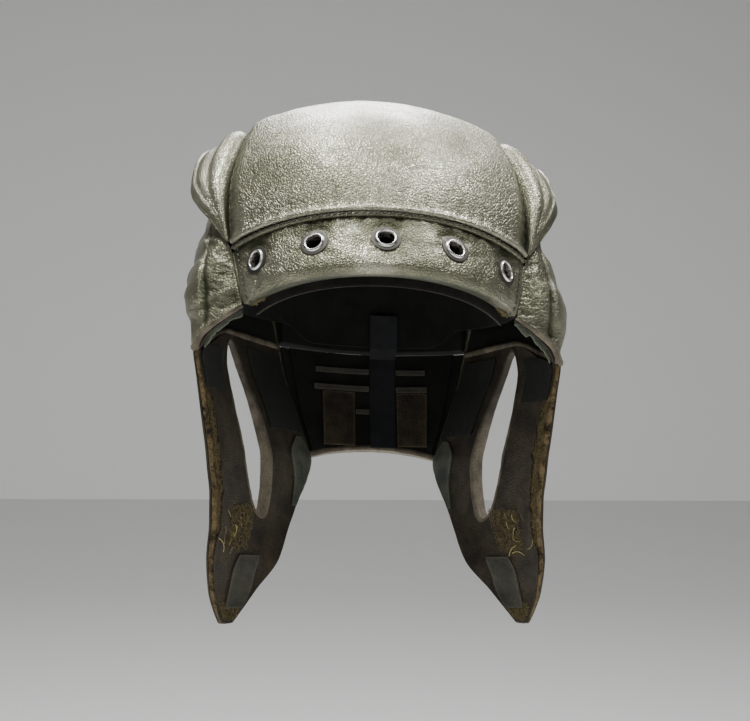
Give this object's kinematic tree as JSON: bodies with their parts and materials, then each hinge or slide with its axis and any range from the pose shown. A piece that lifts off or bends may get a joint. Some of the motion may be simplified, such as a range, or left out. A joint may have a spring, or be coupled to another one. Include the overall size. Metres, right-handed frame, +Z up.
{
  "type": "tank crew helmet",
  "caption": "Padded leather crew helmet with side rolls, eyeleted brow band and long pointed ear flaps, open below.",
  "frame": {"origin": "inside top of the crown lining, where the wearer's head bears", "axes": "+Z up, -Y the way the wearer faces, +X the wearer's left"},
  "size_m": [0.2144, 0.2093, 0.2979],
  "materials": {
    "leather": "glossy silver-grey pebble-grained leather, olive in the folds",
    "lining_leather": "worn matt brown lining leather",
    "cloth": "dark green-black lining cloth",
    "strapping": "dark grey woven tape",
    "stuffing": "tan matted fibre stuffing",
    "rim": "worn tan edge of rolled leather",
    "green": "green-grey split leather",
    "tape": "faded grey tape",
    "nickel": "nickel plated, polished"
  },
  "bodies": {
    "root": {"crown_panel": "leather", "side_pad_left": "leather", "side_pad_right": "leather", "brow_band": "leather", "brow_piping": "leather", "side_panel_left": "leather", "side_panel_right": "leather", "ear_flap_left": "leather", "ear_flap_right": "leather", "neck_panel": "leather", "sweatband": "lining_leather", "flap_lining_left": "lining_leather", "flap_lining_right": "lining_leather", "nape_patch_right": "lining_leather", "nape_patch_left": "lining_leather", "crown_lining": "cloth", "flap_cloth_front_left": "cloth", "flap_cloth_front_right": "cloth", "flap_cloth_rear_left": "cloth", "flap_cloth_rear_right": "cloth", "neck_lining": "cloth", "centre_strap": "strapping", "flap_padding_left": "stuffing", "flap_padding_right": "stuffing", "ear_rim_left": "rim", "ear_rim_right": "rim", "nape_hem": "rim", "gusset_left": "green", "gusset_right": "green", "flap_tab_left": "tape", "flap_tab_right": "tape", "tape_lower_right": "tape", "tape_lower_left": "tape", "tape_upper_right": "tape", "tape_upper_left": "tape", "tape_short": "tape", "eyelet_1": "nickel", "eyelet_2": "nickel", "eyelet_3": "nickel", "eyelet_4": "nickel", "eyelet_5": "nickel"}
  },
  "joints": []
}
